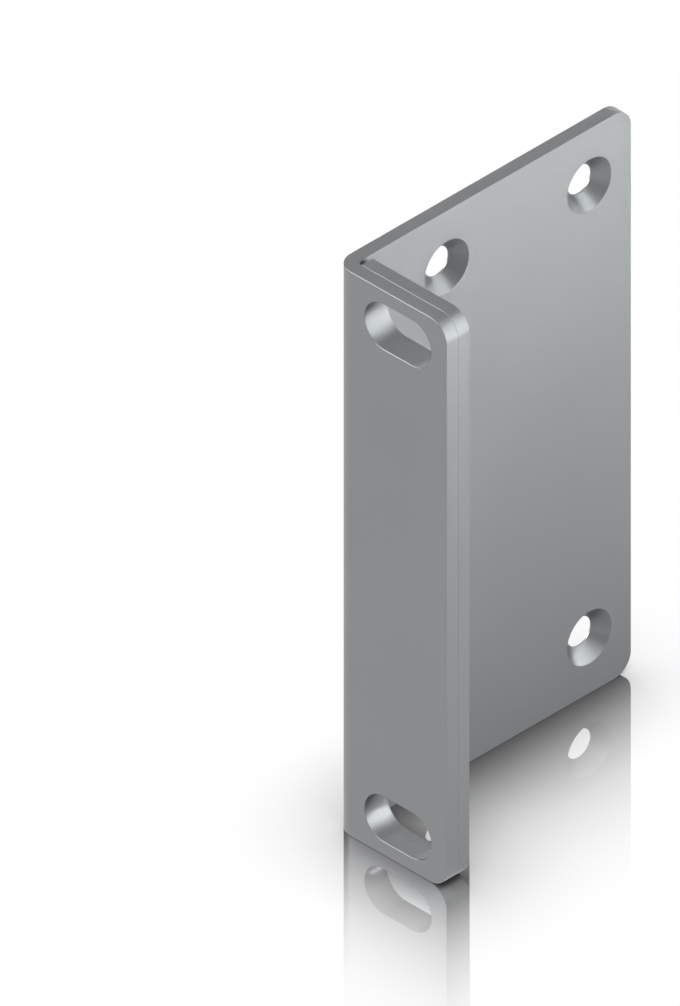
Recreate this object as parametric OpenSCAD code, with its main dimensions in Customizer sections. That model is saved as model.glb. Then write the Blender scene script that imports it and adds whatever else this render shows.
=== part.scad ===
// Rack mount ear for a two-unit device: a folded sheet bracket with a doubler plate
// behind its flange. +X runs out along the flange, +Y back into the rack, +Z up.
// The origin is on the rack's mounting plane, midway between the two slots.

/* [Height] */
// Height of the device in rack units
rack_units = 2; // [1:1:6]
// Height of one rack unit
unit_h = 44.45; // [40:0.05:50]
// Distance that each end of the ear stays inside its rack units
end_gap = 0.75; // [0.2:0.05:2.5]

/* [Sheet] */
// Thickness of the folded sheet
sheet_t = 2.05; // [1.9:0.05:3]
// Inside radius of the fold
bend_r = 0.8; // [0.5:0.05:1.5]
// Leg of the small bevel that breaks every cut edge
edge_break = 0.12; // [0.05:0.01:0.25]
// Radius of the free corners of the web, the flange and the doubler
corner_r = 3; // [1:0.1:5]

/* [Flange] */
// Width of the flange, from the device face to the outer edge
flange_w = 20.15; // [18:0.05:40]
// Distance from the outer edge to the middle of the slots
slot_edge = 8.75; // [8:0.05:10]
// Distance from the rack unit line to the middle of the slot nearest to it
slot_inset = 6.35; // [5.5:0.05:12]
// Length of a slot, end to end
slot_l = 12; // [8:0.1:14]
// Width of a slot
slot_w = 7; // [4.5:0.1:8]

/* [Doubler] */
// Thickness of the doubler plate
doubler_t = 2.05; // [1:0.05:4]
// Clear gap between the web and the inner edge of the doubler
doubler_gap = 0.55; // [0.3:0.05:2]

/* [Web] */
// Depth of the web, from the front face of the flange to the rear edge
web_d = 51.35; // [45:0.05:150]
// Distance from the rear edge to the rear row of screw holes
hole_rear = 7.5; // [5.5:0.05:12]
// Distance between the two rows of screw holes
row_pitch = 25.65; // [10:0.05:28]
// Distance from the top or bottom edge to the nearest screw hole
hole_end = 8.7; // [5.5:0.05:15]
// Diameter of the screw holes
hole_d = 4.3; // [3.2:0.1:5.5]
// Diameter of the countersinks at the inner face of the web
sink_d = 8; // [6.5:0.1:9.5]
// Full angle of the countersinks
sink_angle = 90; // [82:1:100]

/* [Hidden] */
$fn = 96;

ear_h = rack_units * unit_h - 2 * end_gap;
slot_pitch = rack_units * unit_h - 2 * slot_inset;
slot_x = flange_w - slot_edge;
outer_r = bend_r + sheet_t;
rail_y = sheet_t + doubler_t;
doubler_x = sheet_t + doubler_gap;
// running room left between the doubler's inner edge and the round of the fold
fold_room = 0.05;
// bevel on the doubler's inner edge, long enough to clear the round of the fold
fold_bevel = max(edge_break, bend_r - doubler_gap + fold_room);
hole_rows = [web_d - hole_rear - row_pitch, web_d - hole_rear];
sink_depth = (sink_d - hole_d) / 2 / tan(sink_angle / 2);
// how far every cutting shape runs past the face that it cuts
over = 1;
steel_grey = [0.57, 0.58, 0.59];
plate_grey = [0.50, 0.51, 0.53];

// Cross-section of a sheet t thick and h wide, with all four edges broken
module broken_section(t, h) {
    b = edge_break;
    polygon([
        [b, -h / 2], [t - b, -h / 2], [t, b - h / 2], [t, h / 2 - b],
        [t - b, h / 2], [b, h / 2], [0, h / 2 - b], [0, b - h / 2]
    ]);
}

// Upright sheet in the XZ plane, Y from 0 to t, full height, square at both ends
module strip(x0, x1, t) {
    translate([x1, 0, 0]) rotate([0, -90, 0]) rotate([0, 0, 90])
        mirror([0, 1, 0]) linear_extrude(height = x1 - x0) broken_section(t, ear_h);
}

// Free end of an upright sheet: two round corners with the straight edge between them
module free_end(x1, t) {
    b = edge_break;
    r = corner_r;
    straight = ear_h - 2 * r;
    translate([x1, 0, -straight / 2]) linear_extrude(height = straight)
        polygon([[-r, 0], [-b, 0], [0, b], [0, t - b], [-b, t], [-r, t]]);
    for (side = [-1, 1])
        translate([x1 - r, 0, side * straight / 2]) rotate([-90, 0, 0]) rotate_extrude()
            polygon([[0, 0], [r - b, 0], [r, b], [r, t - b], [r - b, t], [0, t]]);
}

// Upright sheet from x0 to a free end with round corners at x1
module wall(x0, x1, t) {
    strip(x0, x1 - corner_r, t);
    free_end(x1, t);
}

// Quarter round of the fold, from the web's plane to the flange's plane
module fold() {
    translate([outer_r, outer_r, 0]) rotate([0, 0, 180]) rotate_extrude(angle = 90)
        translate([bend_r, 0]) broken_section(sheet_t, ear_h);
}

// Round-ended slot through Y from y0 to y1, flared by the edge break at y = mouth
module slot_cut(y0, y1, mouth, outward) {
    r = slot_w / 2;
    reach = (slot_l - slot_w) / 2;
    flare = edge_break + over;
    translate([-reach, y0 - over, -r]) cube([2 * reach, y1 - y0 + 2 * over, slot_w]);
    for (side = [-1, 1]) translate([side * reach, y0 - over, 0])
        rotate([-90, 0, 0]) cylinder(r = r, h = y1 - y0 + 2 * over);
    translate([0, mouth - outward * edge_break, 0]) rotate([-90 * outward, 0, 0]) {
        for (side = [-1, 1]) translate([side * reach, 0, 0])
            cylinder(r1 = r, r2 = r + flare, h = flare);
        rotate([90, 0, 90]) translate([0, 0, -reach]) linear_extrude(height = 2 * reach)
            polygon([[-r, 0], [r, 0], [r + flare, flare], [-r - flare, flare]]);
    }
}

// Both rack slots
module rack_slots(y0, y1, mouth, outward) {
    for (side = [-1, 1]) translate([slot_x, 0, side * slot_pitch / 2])
        slot_cut(y0, y1, mouth, outward);
}

// Screw hole along X, countersunk from the inner face of the web
module screw_hole() {
    translate([-over, 0, 0]) rotate([0, 90, 0]) cylinder(d = hole_d, h = sheet_t + 2 * over);
    translate([sheet_t - sink_depth, 0, 0]) rotate([0, 90, 0])
        cylinder(
            r1 = hole_d / 2,
            r2 = sink_d / 2 + over * tan(sink_angle / 2),
            h = sink_depth + over
        );
}

// Right-angled bevel of leg b along a vertical edge at x, y; dx and dy point into the sheet
module edge_cut(x, y, b, dx, dy) {
    leg = b + over;
    translate([x - dx * over, y - dy * over, -ear_h / 2 - over])
        linear_extrude(height = ear_h + 2 * over)
            polygon([[0, 0], [dx * (leg + over), 0], [0, dy * (leg + over)]]);
}

// Moves a shape drawn from the outer corner of the fold to the part's own origin
module placed() {
    translate([-slot_x, -rail_y, 0]) children();
}

// The folded sheet: flange with two slots, fold, web with four countersunk holes
module ear_bracket() {
    color(steel_grey) placed() difference() {
        union() {
            wall(outer_r, flange_w, sheet_t);
            fold();
            mirror([1, -1, 0]) wall(outer_r, web_d, sheet_t);
        }
        rack_slots(0, sheet_t, 0, -1);
        for (y = hole_rows, side = [-1, 1])
            translate([0, y, side * (ear_h / 2 - hole_end)]) screw_hole();
    }
}

// The flat plate that doubles the flange where it bears on the rack rail
module flange_doubler() {
    color(plate_grey) placed() difference() {
        translate([0, sheet_t, 0]) wall(doubler_x, flange_w, doubler_t);
        edge_cut(doubler_x, sheet_t, fold_bevel, 1, 1);
        edge_cut(doubler_x, rail_y, edge_break, 1, -1);
        rack_slots(sheet_t, rail_y, rail_y, 1);
    }
}

ear_bracket();
flange_doubler();
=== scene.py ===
import math

import bpy
import numpy as np
from bpy.props import FloatProperty, FloatVectorProperty, PointerProperty
from mathutils import Matrix, Vector
from mathutils.geometry import tessellate_polygon


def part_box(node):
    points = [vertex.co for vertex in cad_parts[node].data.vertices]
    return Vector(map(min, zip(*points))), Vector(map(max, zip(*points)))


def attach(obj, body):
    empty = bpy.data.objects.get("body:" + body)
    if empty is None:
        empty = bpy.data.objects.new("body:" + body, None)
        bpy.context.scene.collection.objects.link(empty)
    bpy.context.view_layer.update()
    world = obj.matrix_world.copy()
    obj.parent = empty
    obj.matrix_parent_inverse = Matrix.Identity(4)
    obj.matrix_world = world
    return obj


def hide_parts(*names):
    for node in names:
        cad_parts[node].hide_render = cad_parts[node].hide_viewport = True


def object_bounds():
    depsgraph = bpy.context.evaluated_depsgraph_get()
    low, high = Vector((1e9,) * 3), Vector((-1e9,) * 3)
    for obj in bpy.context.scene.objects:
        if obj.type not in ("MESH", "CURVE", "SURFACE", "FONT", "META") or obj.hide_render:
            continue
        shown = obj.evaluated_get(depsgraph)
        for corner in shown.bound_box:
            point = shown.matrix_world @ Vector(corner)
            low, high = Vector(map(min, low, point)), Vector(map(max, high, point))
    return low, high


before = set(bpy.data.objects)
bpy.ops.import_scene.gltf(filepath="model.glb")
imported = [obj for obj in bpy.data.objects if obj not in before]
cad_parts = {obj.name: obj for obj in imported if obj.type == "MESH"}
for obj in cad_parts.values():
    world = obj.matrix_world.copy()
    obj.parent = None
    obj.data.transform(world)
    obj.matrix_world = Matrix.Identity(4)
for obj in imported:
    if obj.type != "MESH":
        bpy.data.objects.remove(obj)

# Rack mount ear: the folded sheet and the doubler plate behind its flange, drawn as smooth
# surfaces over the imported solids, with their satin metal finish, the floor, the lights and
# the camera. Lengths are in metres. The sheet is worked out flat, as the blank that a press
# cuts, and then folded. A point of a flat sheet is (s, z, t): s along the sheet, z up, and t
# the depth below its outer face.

bl_info = {
    "name": "Rack mount ear",
    "version": (1, 0, 0),
    "blender": (4, 5, 0),
    "location": "3D View > Sidebar > Rack ear",
    "description": "Builds a folded rack mount ear with its doubler plate, finish and stage",
    "category": "Add Mesh",
}

CAD_LOW, CAD_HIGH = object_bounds()
EAR_LOW, EAR_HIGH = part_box("ear_bracket")
DOUBLER_LOW, DOUBLER_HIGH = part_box("flange_doubler")
MM = 0.001
QUARTER = math.pi / 2

# Number of flat strips that the fold is made of.
FOLD_STEPS = 16
# Distance from an edge to a point well inside the flat face beside it.
INWARD = 1.0

# Roughness that the grain adds or takes away, and the strength and height of its bump.
ROUGHNESS_SPREAD = 0.03
BUMP_STRENGTH = 0.04
BUMP_HEIGHT = 0.01 * MM
GRAIN_DETAIL = 2.0
# Slow change of shade: waves per metre, detail, noise values at its ends, and its size.
CLOUD_SCALE = 60.0
CLOUD_DETAIL = 3.0
CLOUD_BAND = (0.3, 0.7)
CLOUD_SPREAD = 0.015
# Painted shade in narrow gaps: openness at which the metal's colour is darkest, openness at which
# it is plain, and the share of its colour that is left where it is darkest.
GAP_SHUT = 0.2
GAP_OPEN = 0.6
GAP_PAINTED_SHADE = 0.15

# Half the side of the floor, the colour of the light that it gives back to matt surfaces,
# and half the height of the boxes that distances on the floor are measured from.
FLOOR = 2.0
FLOOR_COLOUR = (0.9, 0.9, 0.9, 1.0)
TALL = 1.0
# Painted shade in the corner between the flange and the web: how much darker than white the
# metal mirrors the floor there, and how far from the web that reaches.
CORNER_PAINTED_SHADE = 0.34
CORNER_REACH = 48 * MM
# Level of the even light on matt surfaces, and of the sky that the satin metal mirrors.
AMBIENT = 0.5
SKY = 0.33
# A ray depth below this one belongs to what is seen directly, without a reflection.
FIRST_RAY = 1.5
# Where the camera aims, across and up in its view from the ear's front corner at mid
# height, how far away it stands, and its clipping distances.
AIM_ACROSS = 0.725 * MM
AIM_UP = 5.312 * MM
CAMERA_DISTANCE = 0.6
CLIP_NEAR = 0.01
CLIP_FAR = 10.0

WHITE = (1.0, 1.0, 1.0)
COOL_WHITE = (0.96, 1.0, 0.985)


# ---------------------------------------------------------------- sizes and colours


class EarSizes(bpy.types.PropertyGroup):
    """Sizes of the folded sheet and the doubler plate."""

    sheet: FloatProperty(
        name="Sheet thickness",
        description="Thickness of the folded sheet",
        default=2.05 * MM,
        unit="LENGTH",
    )
    bend: FloatProperty(
        name="Inside bend radius",
        description="Radius of the inside of the fold",
        default=0.8 * MM,
        unit="LENGTH",
    )
    corner: FloatProperty(
        name="Corner radius",
        description="Radius of the free corners of the flange, the web and the doubler",
        default=3.0 * MM,
        unit="LENGTH",
    )
    edge: FloatProperty(
        name="Edge round",
        description="Radius that breaks the cut edges",
        default=0.06 * MM,
        unit="LENGTH",
    )
    seam_edge: FloatProperty(
        name="Seam edge round",
        description="Radius that breaks the edges of the flange and the slots at the seam",
        default=0.01 * MM,
        unit="LENGTH",
    )
    front_edge: FloatProperty(
        name="Doubler front edge round",
        description="Radius that breaks the doubler's outline where it meets the sheet",
        default=0.11 * MM,
        unit="LENGTH",
    )
    inner_edge: FloatProperty(
        name="Doubler inner edge round",
        description="Larger round on the doubler's edge that faces the fold",
        default=0.3 * MM,
        unit="LENGTH",
    )


class OpeningSizes(bpy.types.PropertyGroup):
    """Sizes and places of the rack slots and the countersunk screw holes."""

    slot_length: FloatProperty(
        name="Slot length",
        description="Length of a rack slot, end to end",
        default=12.0 * MM,
        unit="LENGTH",
    )
    slot_width: FloatProperty(
        name="Slot width",
        description="Width of a rack slot",
        default=7.0 * MM,
        unit="LENGTH",
    )
    slot_pitch: FloatProperty(
        name="Slot distance",
        description="Distance between the middles of the two rack slots",
        default=76.2 * MM,
        unit="LENGTH",
    )
    hole: FloatProperty(
        name="Hole diameter",
        description="Diameter of the screw holes at the device face",
        default=4.3 * MM,
        unit="LENGTH",
    )
    sink: FloatProperty(
        name="Countersink diameter",
        description="Diameter of the countersinks at the inner face of the web",
        default=8.0 * MM,
        unit="LENGTH",
    )
    sink_angle: FloatProperty(
        name="Countersink angle",
        description="Full angle of the countersinks",
        default=math.radians(90),
        subtype="ANGLE",
    )
    hole_rear: FloatProperty(
        name="Rear hole row",
        description="Distance from the rear edge of the web to the rear row of holes",
        default=7.5 * MM,
        unit="LENGTH",
    )
    row_pitch: FloatProperty(
        name="Hole row distance",
        description="Distance between the two rows of holes",
        default=25.65 * MM,
        unit="LENGTH",
    )
    hole_end: FloatProperty(
        name="Hole end distance",
        description="Distance from the top or bottom edge to the nearest hole",
        default=8.7 * MM,
        unit="LENGTH",
    )
    hole_edge: FloatProperty(
        name="Hole edge round",
        description="Small round at the mouths of the screw holes",
        default=0.05 * MM,
        unit="LENGTH",
    )


class MetalFinish(bpy.types.PropertyGroup):
    """Colour and texture of the satin metal."""

    colour: FloatVectorProperty(
        name="Metal colour",
        description="Colour of the satin anodised metal",
        default=(0.249, 0.253, 0.261),
        size=3,
        min=0.0,
        max=1.0,
        subtype="COLOR",
    )
    roughness: FloatProperty(
        name="Roughness",
        description="Mean roughness of the satin finish",
        default=0.43,
        min=0.0,
        max=1.0,
        subtype="FACTOR",
    )
    grain: FloatProperty(
        name="Grain size",
        description="Size of the fine blasted grain",
        default=0.12 * MM,
        unit="LENGTH",
    )
    # Painted shade: distance within which a facing surface darkens the metal's colour, standing in
    # for the shade in narrow gaps.
    gap: FloatProperty(
        name="Gap reach",
        description="Distance within which a facing surface darkens the metal, as in a gap",
        default=1.0 * MM,
        unit="LENGTH",
    )


class StudioSettings(bpy.types.PropertyGroup):
    """Camera, floor and light of the stage."""

    azimuth: FloatProperty(
        name="Camera azimuth",
        description="Direction of the camera round the ear; 0 looks straight at the flange",
        default=math.radians(44.87),
        subtype="ANGLE",
    )
    elevation: FloatProperty(
        name="Camera elevation",
        description="Height of the camera above the horizon",
        default=math.radians(34.91),
        subtype="ANGLE",
    )
    view_height: FloatProperty(
        name="View height",
        description="Height of the camera's view",
        default=127.74 * MM,
        unit="LENGTH",
    )
    polish: FloatProperty(
        name="Floor polish",
        description="Share of the floor's light that is reflection, where the ear stands",
        default=0.93,
        min=0.0,
        max=1.0,
        subtype="FACTOR",
    )
    flange_reach: FloatProperty(
        name="Reach of the flange's reflection",
        description="Distance from the flange at which its reflection has faded out",
        default=30.0 * MM,
        unit="LENGTH",
    )
    web_reach: FloatProperty(
        name="Reach of the web's reflection",
        description="Distance from the web at which its reflection has faded out",
        default=36.0 * MM,
        unit="LENGTH",
    )
    shadow_reach: FloatProperty(
        name="Reach of the shadow",
        description="Distance over which the ear keeps the light of the surroundings off the floor",
        default=16.0 * MM,
        unit="LENGTH",
    )
    shadow_depth: FloatProperty(
        name="Depth of the shadow",
        description="Power of the shade on the floor; a larger one is deeper",
        default=0.85,
        min=0.1,
        max=4.0,
    )


# ---------------------------------------------------------------- shapes


def arc(centre, radius, first, last, steps):
    """Points centre + radius * (cos a, sin a), with a running evenly from first to last,
    and beside them the unit vectors (cos a, sin a)."""
    a = np.linspace(first, last, steps + 1)
    way = np.stack([np.cos(a), np.sin(a)], axis=1)
    return np.asarray(centre) + radius * way, way


def blank_outline(left, right, half, radii, fold_s, steps=14):
    """Outline of a blank, anticlockwise in (s, z): a quarter circle at each corner, joined by
    straight edges, with the stations fold_s along the bottom and back along the top. radii
    are those of the left and the right corners. Returns the points, the outward unit vectors
    and the marks: the index where each of the six parts starts, and the number of points.
    The parts are the lower left corner, the bottom stations, the two right corners, the top
    stations and the upper left corner."""
    r0, r1 = radii
    low = np.stack([fold_s, np.full(len(fold_s), -half)], axis=1)
    parts = [
        arc((left + r0, r0 - half), r0, 2 * QUARTER, 3 * QUARTER, steps),
        (low, np.tile([0.0, -1.0], (len(fold_s), 1))),
        arc((right - r1, r1 - half), r1, 3 * QUARTER, 4 * QUARTER, steps),
        arc((right - r1, half - r1), r1, 0.0, QUARTER, steps),
        (low[::-1] * (1, -1), np.tile([0.0, 1.0], (len(fold_s), 1))),
        arc((left + r0, half - r0), r0, QUARTER, 2 * QUARTER, steps),
    ]
    points = np.concatenate([p for p, way in parts])
    ways = np.concatenate([way for p, way in parts])
    marks = np.cumsum([0] + [len(p) for p, way in parts])
    return points, ways, marks


def slot_outline(centre, length, width, steps=24):
    """Outline of a slot, clockwise in (s, z): two half circles of the slot's width joined by
    straight edges. The unit vectors point into the opening."""
    r = width / 2
    reach = (length - width) / 2
    s, z = centre
    right, way_r = arc((s + reach, z), r, QUARTER, -QUARTER, steps)
    left, way_l = arc((s - reach, z), r, -QUARTER, -3 * QUARTER, steps)
    return np.concatenate([right, left]), -np.concatenate([way_r, way_l])


def hole_outline(centre, radius, steps=64):
    """Outline of a round hole, clockwise in (s, z), with unit vectors into the opening."""
    points, way = arc(centre, radius, 0.0, -4 * QUARTER, steps)
    return points[:-1], -way[:-1]


def square_edge(depth):
    """Corners of a plain cut edge through a sheet of that depth, as (inset, depth) points."""
    return [(INWARD, 0.0), (0.0, 0.0), (0.0, depth), (INWARD, depth)]


def edge_profile(corners, rounds, steps=4):
    """Cross-section of a cut edge. corners are (inset, depth) points, from a point on the
    outer face, over the edge, to a point on the inner face. Each inner corner is rounded by an
    arc that is tangent to both of its sides and starts r * tan(turn / 2) before it. Returns
    the (inset, depth) points and their outward normals."""
    c = np.asarray(corners, float)
    side = np.diff(c, axis=0)
    side /= np.linalg.norm(side, axis=1, keepdims=True)
    normal = np.stack([-side[:, 1], side[:, 0]], axis=1)
    share = np.linspace(0, 1, steps + 1)[:, None]
    points, normals = [], []
    for i, r in enumerate(rounds):
        a, b = normal[i], normal[i + 1]
        turn = math.acos(np.clip(a @ b, -1, 1))
        n = (np.sin((1 - share) * turn) * a + np.sin(share * turn) * b) / math.sin(turn)
        bulge = 1.0 if a @ side[i + 1] < 0 else -1.0
        start = c[i + 1] - side[i] * r * math.tan(turn / 2)
        points.append(start + bulge * r * (n - a))
        normals.append(n)
    return np.concatenate(points), np.concatenate(normals)


class SheetMesh:
    """Gathers the parts of a sheet in (s, z, t), as whole arrays."""

    def __init__(self):
        self.points, self.normals, self.faces = [], [], []
        self.count = 0

    def rim(self, outline, ways, profile, normals):
        """Carries an edge profile round an outline: the point is outline - inset * way at the
        profile's depth, and its normal is the profile's normal turned the same way. Returns
        the vertex numbers as a grid, outline by profile."""
        n, k = len(outline), profile.shape[-2]
        inset, depth = profile[..., 0], profile[..., 1]
        grid = np.empty((n, k, 3))
        grid[..., :2] = outline[:, None] - inset[..., None] * ways[:, None]
        grid[..., 2] = depth
        norm = np.empty((n, k, 3))
        norm[..., :2] = -normals[..., :1] * ways[:, None]
        norm[..., 2] = normals[..., 1]
        ids = self.count + np.arange(n * k).reshape(n, k)
        self.count += n * k
        self.points.append(grid.reshape(-1, 3))
        self.normals.append(norm.reshape(-1, 3))
        ahead = np.roll(ids, -1, axis=0)
        quads = np.stack([ids[:, :-1], ahead[:, :-1], ahead[:, 1:], ids[:, 1:]], axis=-1)
        self.faces.extend(quads.reshape(-1, 4).tolist())
        return ids

    def flat(self, loops, inner):
        """Fills a flat face between its outer loop and the loops of its openings. A triangle
        is turned round where its signed area in (s, z) has the wrong sign for its side."""
        points = np.concatenate(self.points)
        ids = np.concatenate(loops)
        lines = [[Vector((s, z, 0)) for s, z in points[loop, :2]] for loop in loops]
        tris = np.array(tessellate_polygon(lines))
        a, b, c = (points[ids[tris[:, i]], :2] for i in range(3))
        area = (b - a)[:, 0] * (c - a)[:, 1] - (b - a)[:, 1] * (c - a)[:, 0]
        wrong = (area < 0) if inner else (area > 0)
        tris[wrong] = tris[wrong][:, ::-1]
        self.faces.extend(ids[tris].tolist())

    def ruled(self, low, high, inner):
        """Joins two rows of vertices with straight quads."""
        row = [low[:-1], low[1:], high[1:], high[:-1]]
        quads = np.stack(row if inner else row[::-1], axis=-1)
        self.faces.extend(quads.tolist())


def folded(points, normals, centre, outer, length):
    """Folds a flat sheet about a vertical line. The turn grows evenly from 0 to 90 degrees
    over 0 < s < length. With turn f, the outer face's normal is (-sin f, -cos f), and a point
    is centre + (outer - t) * normal + (s beyond the fold) * (-cos f, sin f)."""
    s, z, t = points.T
    inside = np.clip(s, 0, length)
    f = inside / length * QUARTER
    beyond = s - inside
    sin, cos = np.sin(f), np.cos(f)
    x = centre[0] - (outer - t) * sin - beyond * cos
    y = centre[1] - (outer - t) * cos + beyond * sin
    ns, nz, nt = normals.T
    nx = -ns * cos + nt * sin
    ny = ns * sin + nt * cos
    return np.stack([x, y, z], axis=1), np.stack([nx, ny, nz], axis=1)


def mesh_piece(name, sheet, points, normals, material):
    """Makes a smooth-shaded object at the origin from vertices, their normals and faces."""
    mesh = bpy.data.meshes.new(name)
    mesh.from_pydata(points.tolist(), [], sheet.faces)
    if mesh.validate():
        raise RuntimeError(f"{name} has faces that are not valid")
    mesh.shade_smooth()
    mesh.normals_split_custom_set_from_vertices(normals.tolist())
    piece = bpy.data.objects.new(name, mesh)
    bpy.context.scene.collection.objects.link(piece)
    mesh.materials.append(material)
    return piece


# ---------------------------------------------------------------- finish


def satin_metal(name, finish):
    """Satin anodised sheet: fine blasted grain in the roughness and the bump, a slow, barely
    visible change of tone at random, and painted shade that darkens the colour in narrow gaps."""
    material = bpy.data.materials.new(name)
    material.use_nodes = True
    nodes = material.node_tree.nodes
    links = material.node_tree.links
    shader = nodes["Principled BSDF"]
    shader.inputs["Metallic"].default_value = 1.0
    place = nodes.new("ShaderNodeTexCoord")

    grain = nodes.new("ShaderNodeTexNoise")
    grain.inputs["Scale"].default_value = 1 / finish.grain
    grain.inputs["Detail"].default_value = GRAIN_DETAIL
    links.new(place.outputs["Object"], grain.inputs["Vector"])

    rough = nodes.new("ShaderNodeMapRange")
    rough.inputs["To Min"].default_value = finish.roughness - ROUGHNESS_SPREAD
    rough.inputs["To Max"].default_value = finish.roughness + ROUGHNESS_SPREAD
    links.new(grain.outputs["Fac"], rough.inputs["Value"])
    links.new(rough.outputs["Result"], shader.inputs["Roughness"])

    bump = nodes.new("ShaderNodeBump")
    bump.inputs["Strength"].default_value = BUMP_STRENGTH
    bump.inputs["Distance"].default_value = BUMP_HEIGHT
    links.new(grain.outputs["Fac"], bump.inputs["Height"])
    links.new(bump.outputs["Normal"], shader.inputs["Normal"])

    cloud = nodes.new("ShaderNodeTexNoise")
    cloud.inputs["Scale"].default_value = CLOUD_SCALE
    cloud.inputs["Detail"].default_value = CLOUD_DETAIL
    links.new(place.outputs["Object"], cloud.inputs["Vector"])
    shade = nodes.new("ShaderNodeValToRGB")
    base = np.array(finish.colour)
    tones = (1 - CLOUD_SPREAD, 1 + CLOUD_SPREAD)
    for stop, position, tone in zip(shade.color_ramp.elements, CLOUD_BAND, tones):
        stop.position = position
        stop.color = (*(base * tone), 1.0)
    links.new(cloud.outputs["Fac"], shade.inputs["Fac"])

    # Painted shade: where another surface faces the metal within the gap reach, an occlusion test
    # darkens the base colour, standing in for the shade in narrow gaps and creases.
    open_side = nodes.new("ShaderNodeAmbientOcclusion")
    open_side.inputs["Distance"].default_value = finish.gap
    gap = nodes.new("ShaderNodeMapRange")
    gap.inputs["From Min"].default_value = GAP_SHUT
    gap.inputs["From Max"].default_value = GAP_OPEN
    gap.inputs["To Min"].default_value = GAP_PAINTED_SHADE
    links.new(open_side.outputs["AO"], gap.inputs["Value"])
    gap_shaded_colour = nodes.new("ShaderNodeMix")
    gap_shaded_colour.data_type = "RGBA"
    gap_shaded_colour.blend_type = "MULTIPLY"
    gap_shaded_colour.inputs["Factor"].default_value = 1.0
    plain, painted_gap_shade = (socket for socket in gap_shaded_colour.inputs if socket.type == "RGBA")
    links.new(shade.outputs["Color"], plain)
    links.new(gap.outputs["Result"], painted_gap_shade)
    (result,) = (socket for socket in gap_shaded_colour.outputs if socket.type == "RGBA")
    links.new(result, shader.inputs["Base Color"])
    return material


# ---------------------------------------------------------------- operators


class BuildEar(bpy.types.Operator):
    """Build the folded sheet with its slots and countersunk holes"""

    bl_idname = "rack_ear.build_ear"
    bl_label = "Folded ear"

    def execute(self, context):
        sizes = context.scene.ear_sizes
        openings = context.scene.ear_openings
        t, e, r = sizes.sheet, sizes.edge, sizes.corner
        outer = sizes.bend + t
        fold = np.array([EAR_LOW.x + outer, EAR_LOW.y + outer])
        length = (sizes.bend + t / 2) * QUARTER
        half = EAR_HIGH.z
        flange_end = fold[0] - EAR_HIGH.x
        web_end = length + EAR_HIGH.y - fold[1]
        stations = np.linspace(0, length, FOLD_STEPS + 1)
        outline, ways, marks = blank_outline(flange_end, web_end, half, (r, r), stations)

        sheet = SheetMesh()
        # The flange's edge is sharper at the seam with the doubler, and changes to the
        # plain one along the fold.
        cut = square_edge(t)
        seamed, cut_n = edge_profile(cut, [e, sizes.seam_edge])
        free, _ = edge_profile(cut, [e, e])
        share = np.clip(outline[:, 0] / length, 0, 1)[:, None, None]
        body = sheet.rim(outline, ways, seamed + share * (free - seamed), cut_n)
        slots = []
        for side in (-1, 1):
            centre = (fold[0], side * openings.slot_pitch / 2)
            path = slot_outline(centre, openings.slot_length, openings.slot_width)
            slots.append(sheet.rim(*path, seamed, cut_n))

        wide = (openings.sink - openings.hole) / 2
        deep = wide / math.tan(openings.sink_angle / 2)
        small = openings.hole_edge
        cone = [(INWARD, 0), (0, 0), (0, t - deep), (wide, t), (INWARD, t)]
        sink, sink_n = edge_profile(cone, [small, small, small])
        holes = []
        rear = web_end - openings.hole_rear
        for s in (rear - openings.row_pitch, rear):
            for side in (-1, 1):
                path = hole_outline((s, side * (half - openings.hole_end)), openings.hole / 2)
                holes.append(sheet.rim(*path, sink, sink_n))

        # The fold lies between its bottom and its top row of vertices. The loops round the
        # flat flange and the flat web begin and end at the fold.
        low = np.arange(marks[1], marks[2])
        high = np.arange(marks[4], marks[5])[::-1]
        flange = np.concatenate([[high[0]], np.arange(marks[5], marks[6]), np.arange(marks[1] + 1)])
        web = np.arange(marks[2] - 1, marks[4] + 1)
        for k, inner in ((0, False), (-1, True)):
            sheet.ruled(body[low, k], body[high, k], inner)
            sheet.flat([body[flange, k]] + [s[:, k] for s in slots], inner)
            sheet.flat([body[web, k]] + [h[:, k] for h in holes], inner)

        points, normals = folded(
            np.concatenate(sheet.points), np.concatenate(sheet.normals), fold, outer, length
        )
        material = satin_metal("satin_sheet", context.scene.ear_finish)
        piece = mesh_piece("ear_sheet", sheet, points, normals, material)
        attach(piece, "root")
        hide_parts("ear_bracket")
        return {"FINISHED"}


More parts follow.
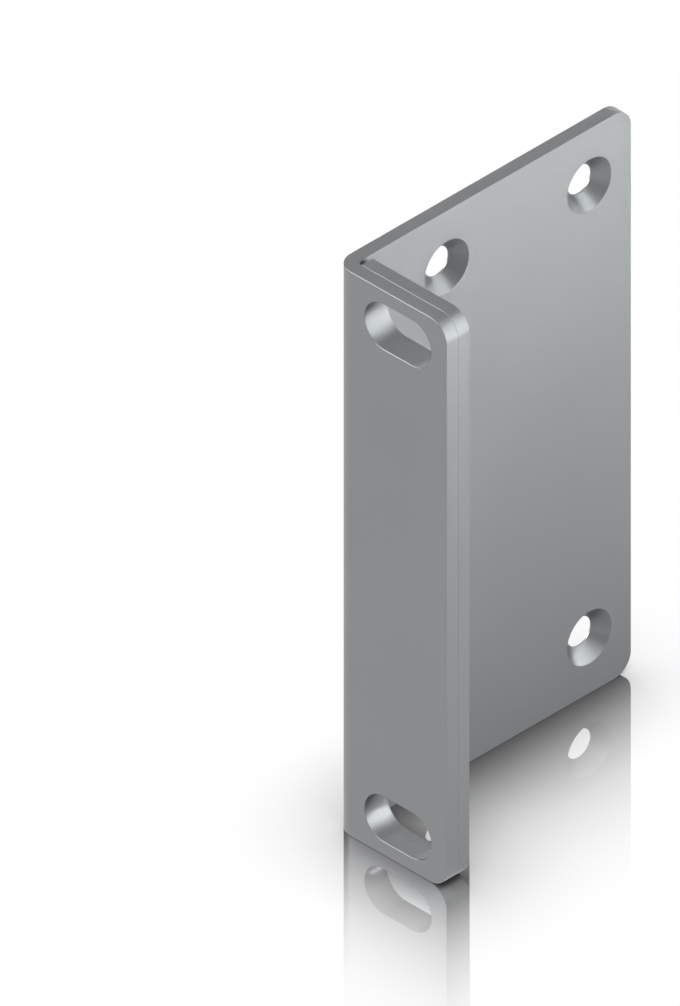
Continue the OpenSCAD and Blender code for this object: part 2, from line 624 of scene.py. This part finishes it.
class BuildDoubler(bpy.types.Operator):
    """Build the flat doubler plate behind the flange"""

    bl_idname = "rack_ear.build_doubler"
    bl_label = "Doubler plate"

    def execute(self, context):
        sizes = context.scene.ear_sizes
        openings = context.scene.ear_openings
        e, bevel = sizes.edge, sizes.inner_edge
        t = DOUBLER_HIGH.y - DOUBLER_LOW.y
        left, right = -DOUBLER_HIGH.x, -DOUBLER_LOW.x
        nothing = np.zeros(0)
        outline, ways, _ = blank_outline(
            left, right, DOUBLER_HIGH.z, (sizes.corner, bevel + e), nothing
        )
        # The large round is on the edge that faces the fold, and eases out at its corners.
        cut = square_edge(t)
        plain, cut_n = edge_profile(cut, [sizes.front_edge, e])
        large, _ = edge_profile(cut, [bevel, e])
        share = np.clip(ways[:, 0], 0, 1)[:, None, None]

        sheet = SheetMesh()
        body = sheet.rim(outline, ways, plain + share * (large - plain), cut_n)
        mouth, _ = edge_profile(cut, [sizes.seam_edge, e])
        slots = []
        for side in (-1, 1):
            centre = (0.0, side * openings.slot_pitch / 2)
            path = slot_outline(centre, openings.slot_length, openings.slot_width)
            slots.append(sheet.rim(*path, mouth, cut_n))
        for k, inner in ((0, False), (-1, True)):
            sheet.flat([body[:, k]] + [s[:, k] for s in slots], inner)

        # As in the blank of the ear, s grows from the outer edge towards the web, against X.
        s, z, d = np.concatenate(sheet.points).T
        points = np.stack([-s, DOUBLER_LOW.y + d, z], axis=1)
        normals = np.concatenate(sheet.normals)[:, [0, 2, 1]] * (-1, 1, 1)
        material = satin_metal("satin_doubler", context.scene.ear_finish)
        piece = mesh_piece("doubler_plate", sheet, points, normals, material)
        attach(piece, "root")
        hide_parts("flange_doubler")
        return {"FINISHED"}


class BuildStage(bpy.types.Operator):
    """Build the floor, the lights and the camera"""

    bl_idname = "rack_ear.build_stage"
    bl_label = "Stage"

    def execute(self, context):
        studio = context.scene.ear_studio
        add_camera(studio)
        add_floor(studio)
        add_lights()
        add_world()
        context.scene.view_settings.view_transform = "Standard"
        return {"FINISHED"}


class EarPanel(bpy.types.Panel):
    """Sidebar panel with the sizes and the build steps"""

    bl_idname = "VIEW3D_PT_rack_ear"
    bl_label = "Rack ear"
    bl_space_type = "VIEW_3D"
    bl_region_type = "UI"
    bl_category = "Rack ear"

    def draw(self, context):
        layout = self.layout
        for name in SETTINGS:
            group = getattr(context.scene, name)
            box = layout.box()
            for prop in group.bl_rna.properties:
                if prop.identifier not in ("rna_type", "name"):
                    box.prop(group, prop.identifier)
        for step in STEPS:
            layout.operator(step.bl_idname)


# ---------------------------------------------------------------- stage


def add_camera(studio):
    """Parallel camera that looks at a point near the fold from the given angles."""
    a, e = studio.azimuth, studio.elevation
    across = Vector((math.cos(a), math.sin(a), 0))
    up = Vector((-math.sin(a) * math.sin(e), math.cos(a) * math.sin(e), math.cos(e)))
    back = across.cross(up)
    aim = Vector((EAR_LOW.x, EAR_LOW.y, 0)) + AIM_ACROSS * across + AIM_UP * up
    data = bpy.data.cameras.new("camera")
    data.type = "ORTHO"
    data.ortho_scale = studio.view_height
    data.clip_start = CLIP_NEAR
    data.clip_end = CLIP_FAR
    camera = bpy.data.objects.new("camera", data)
    turn = Matrix((across, up, back)).transposed().to_4x4()
    camera.matrix_world = Matrix.Translation(aim + CAMERA_DISTANCE * back) @ turn
    bpy.context.scene.collection.objects.link(camera)
    bpy.context.scene.camera = camera


def add_floor(studio):
    """Plain white floor under the ear, with a soft shadow and, near the ear, a reflection
    that fades with the distance from the ear's footprint."""
    z = CAD_LOW.z
    corners = [(-FLOOR, -FLOOR, z), (FLOOR, -FLOOR, z), (FLOOR, FLOOR, z), (-FLOOR, FLOOR, z)]
    mesh = bpy.data.meshes.new("floor")
    mesh.from_pydata(corners, [], [(0, 1, 2, 3)])
    floor = bpy.data.objects.new("floor", mesh)
    bpy.context.scene.collection.objects.link(floor)
    mesh.materials.append(floor_finish(studio))


def floor_finish(studio):
    """Material of the floor: white, with a polish over it that fades with the distance from
    the ear. Both are darker where the ear keeps the light off the floor. The satin metal
    mirrors the floor as plain white, but for a painted shade in the corner between the flange
    and the web, which darkens the floor in the metal's reflection only. The reflection of the
    flange ends on the diagonal behind its free edge, where the floor mirrors the web instead."""
    material = bpy.data.materials.new("floor")
    material.use_nodes = True
    tree = material.node_tree
    tree.nodes.clear()
    place = tree.nodes.new("ShaderNodeTexCoord").outputs["Object"]
    flange = distance_to_box(tree, place, (EAR_LOW.x, EAR_LOW.y), (EAR_HIGH.x, 0.0))
    web_right = EAR_LOW.x + bpy.context.scene.ear_sizes.sheet
    web = distance_to_box(tree, place, (EAR_LOW.x, 0.0), (web_right, EAR_HIGH.y))
    split = tree.nodes.new("ShaderNodeSeparateXYZ")
    tree.links.new(place, split.inputs[0])
    diagonal = worked(tree, "ADD", split.outputs["X"], split.outputs["Y"])
    before = worked(tree, "LESS_THAN", diagonal, EAR_HIGH.x)
    of_flange = worked(tree, "MULTIPLY", nearness(tree, flange, studio.flange_reach), before)
    of_web = nearness(tree, web, studio.web_reach)
    mirror = worked(tree, "MAXIMUM", of_flange, of_web)
    mirror = worked(tree, "MULTIPLY", mirror, studio.polish)
    seen = tree.nodes.new("ShaderNodeLightPath").outputs["Is Camera Ray"]
    mirror = worked(tree, "MULTIPLY", mirror, seen)
    # Painted shade: behind the flange and near the web, the floor that the metal mirrors is
    # darkened for the metal's reflection only, standing in for the shade in that corner.
    behind = worked(tree, "GREATER_THAN", split.outputs["Y"], 0.0)
    dark = worked(tree, "MULTIPLY", nearness(tree, web, CORNER_REACH), behind)
    dark = worked(tree, "MULTIPLY", dark, CORNER_PAINTED_SHADE)

    open_sky = tree.nodes.new("ShaderNodeAmbientOcclusion")
    open_sky.inputs["Distance"].default_value = studio.shadow_reach
    shade = worked(tree, "POWER", open_sky.outputs["AO"], studio.shadow_depth)
    mirrored = worked(tree, "SUBTRACT", 1.0, dark)
    strength = tree.nodes.new("ShaderNodeMix")
    tree.links.new(seen, strength.inputs["Factor"])
    tree.links.new(mirrored, strength.inputs["A"])
    tree.links.new(shade, strength.inputs["B"])
    white = tree.nodes.new("ShaderNodeEmission")
    tree.links.new(strength.outputs["Result"], white.inputs["Strength"])
    matt = tree.nodes.new("ShaderNodeBsdfDiffuse")
    matt.inputs["Color"].default_value = FLOOR_COLOUR
    gloss = tree.nodes.new("ShaderNodeBsdfGlossy")
    tree.links.new(shade, gloss.inputs["Color"])
    gloss.inputs["Roughness"].default_value = 0.0
    plain = mixed(tree, white_rays(tree), matt, white)
    whole = mixed(tree, mirror, plain, gloss)
    out = tree.nodes.new("ShaderNodeOutputMaterial")
    tree.links.new(whole.outputs[0], out.inputs["Surface"])
    return material


def worked(tree, operation, a, b):
    """Result of one operation on two values, each a number or a socket."""
    node = tree.nodes.new("ShaderNodeMath")
    node.operation = operation
    for value, socket in zip((a, b), node.inputs):
        if isinstance(value, bpy.types.NodeSocket):
            tree.links.new(value, socket)
        else:
            socket.default_value = value
    return node.outputs[0]


def mixed(tree, share, first, second):
    """Mix of two shaders: the second one's share comes from a socket."""
    node = tree.nodes.new("ShaderNodeMixShader")
    tree.links.new(share, node.inputs["Fac"])
    tree.links.new(first.outputs[0], node.inputs[1])
    tree.links.new(second.outputs[0], node.inputs[2])
    return node


def nearness(tree, distance, reach):
    """(1 - distance / reach) squared, and 0 past the reach."""
    node = tree.nodes.new("ShaderNodeMapRange")
    node.inputs["From Max"].default_value = reach
    node.inputs["To Min"].default_value = 1.0
    node.inputs["To Max"].default_value = 0.0
    tree.links.new(distance, node.inputs["Value"])
    return worked(tree, "POWER", node.outputs["Result"], 2.0)


def distance_to_box(tree, place, low, high):
    """Level distance from a point to an upright box, the larger of the distances along X
    and Y: what is left of |point - middle| - half the box, where that is above 0. The box is
    taller than anything on the stage, so the height of the point doesn't count."""
    middle = [(a + b) / 2 for a, b in zip(low, high)]
    half = [(b - a) / 2 for a, b in zip(low, high)]
    steps = (
        ("SUBTRACT", (*middle, 0.0)),
        ("ABSOLUTE", None),
        ("SUBTRACT", (*half, TALL)),
        ("MAXIMUM", (0.0, 0.0, 0.0)),
    )
    for operation, value in steps:
        node = tree.nodes.new("ShaderNodeVectorMath")
        node.operation = operation
        tree.links.new(place, node.inputs[0])
        if value is not None:
            node.inputs[1].default_value = value
        place = node.outputs["Vector"]
    split = tree.nodes.new("ShaderNodeSeparateXYZ")
    tree.links.new(place, split.inputs[0])
    return worked(tree, "MAXIMUM", split.outputs["X"], split.outputs["Y"])


def white_rays(tree):
    """1 for the rays that show the white background: camera, glossy and transmission rays."""
    path = tree.nodes.new("ShaderNodeLightPath").outputs
    seen = worked(tree, "ADD", path["Is Camera Ray"], path["Is Glossy Ray"])
    return worked(tree, "ADD", seen, path["Is Transmission Ray"])


def add_lights():
    """Soft boxes round the ear, each with its place, size in metres and power in watts. They
    light the ear alone, and leave the floor to the even light of the surroundings. The top
    and the left one cast no shadow, like an even sky. The slot_echo one lights only what
    shows through the lower slot in the floor's reflection."""
    lit = bpy.data.collections.new("lit_pieces")
    for name in ("ear_sheet", "doubler_plate"):
        lit.objects.link(bpy.data.objects[name])
    soft_box("key", (-0.564, -0.806, 0.688), 0.6, 25.8, WHITE, lit, echo=0.11)
    soft_box("top", (-0.15, 0.15, 0.57), 0.6, 0.45, WHITE, lit, shadow=False)
    soft_box("left", (-0.45, 0.45, 0.15), 0.4, 0.64, WHITE, lit, shadow=False)
    soft_box("corner", (0.429, 0.348, 0.234), 0.3, 0.75, COOL_WHITE, lit)
    soft_box("side", (0.2, 0.06, 0.03), 0.12, 0.18, COOL_WHITE, lit)
    soft_box("back", (0.0702, 0.2267, 0.0), 0.12, 0.18, COOL_WHITE, lit)
    soft_box("web_middle", (0.094, 0.119, 0.02), 0.12, 0.042, COOL_WHITE, lit)
    soft_box("web_top", (0.0486, 0.0781, 0.1028), 0.06, 0.0315, COOL_WHITE, lit)
    soft_box("web_low", (0.0891, 0.0938, -0.0272), 0.06, 0.02, COOL_WHITE, lit)
    soft_box("slot_echo", (0.008, 0.0204, -0.0098), 0.01, 0.006, WHITE, lit, direct=0.0, echo=1.0)


def soft_box(name, place, size, power, colour, lit, shadow=True, direct=1.0, echo=0.04):
    """Square area light of that size, turned towards the middle of the ear. Its share
    direct lights what is seen directly, and its share echo what is seen in a reflection, so
    that the ear's mirror image in the floor stays soft and dark."""
    data = bpy.data.lights.new(name, "AREA")
    data.size = size
    data.energy = power
    data.color = colour
    data.use_shadow = shadow
    data.use_nodes = True
    data.cycles.use_multiple_importance_sampling = False
    tree = data.node_tree
    path = tree.nodes.new("ShaderNodeLightPath").outputs
    strength = tree.nodes.new("ShaderNodeMapRange")
    strength.inputs["To Min"].default_value = echo
    strength.inputs["To Max"].default_value = direct
    first = worked(tree, "LESS_THAN", path["Ray Depth"], FIRST_RAY)
    tree.links.new(first, strength.inputs["Value"])
    tree.links.new(strength.outputs["Result"], tree.nodes["Emission"].inputs["Strength"])
    light = bpy.data.objects.new(name, data)
    light.location = place
    light.rotation_mode = "QUATERNION"
    light.rotation_quaternion = Vector(place).to_track_quat("Z", "Y")
    light.visible_camera = False
    light.light_linking.receiver_collection = lit
    bpy.context.scene.collection.objects.link(light)


def add_world():
    """White surroundings: plain white to the camera and in the polished floor, an even light
    of half that level on matt surfaces, and a darker sky in the satin metal."""
    world = bpy.data.worlds.new("surroundings")
    world.use_nodes = True
    tree = world.node_tree
    background = tree.nodes["Background"]
    background.inputs["Color"].default_value = (*WHITE, 1.0)
    path = tree.nodes.new("ShaderNodeLightPath").outputs
    sharp = worked(tree, "MAXIMUM", path["Is Camera Ray"], path["Is Singular Ray"])
    level = tree.nodes.new("ShaderNodeMapRange")
    level.inputs["To Min"].default_value = AMBIENT
    level.inputs["To Max"].default_value = SKY
    tree.links.new(white_rays(tree), level.inputs["Value"])
    strength = worked(tree, "MAXIMUM", level.outputs["Result"], sharp)
    tree.links.new(strength, background.inputs["Strength"])
    bpy.context.scene.world = world


# ---------------------------------------------------------------- running


SETTINGS = {
    "ear_sizes": EarSizes,
    "ear_openings": OpeningSizes,
    "ear_finish": MetalFinish,
    "ear_studio": StudioSettings,
}
STEPS = (BuildEar, BuildDoubler, BuildStage)


def register():
    """Makes the settings, the operators and the panel known to Blender."""
    for group in SETTINGS.values():
        bpy.utils.register_class(group)
    for name, group in SETTINGS.items():
        setattr(bpy.types.Scene, name, PointerProperty(type=group))
    for step in STEPS:
        bpy.utils.register_class(step)
    bpy.utils.register_class(EarPanel)


def unregister():
    """Takes them away again, in the reverse order."""
    bpy.utils.unregister_class(EarPanel)
    for step in reversed(STEPS):
        bpy.utils.unregister_class(step)
    for name, group in reversed(SETTINGS.items()):
        delattr(bpy.types.Scene, name)
        bpy.utils.unregister_class(group)


def main():
    """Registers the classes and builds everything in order."""
    register()
    bpy.ops.rack_ear.build_ear()
    bpy.ops.rack_ear.build_doubler()
    bpy.ops.rack_ear.build_stage()


if __name__ == "__main__":
    main()
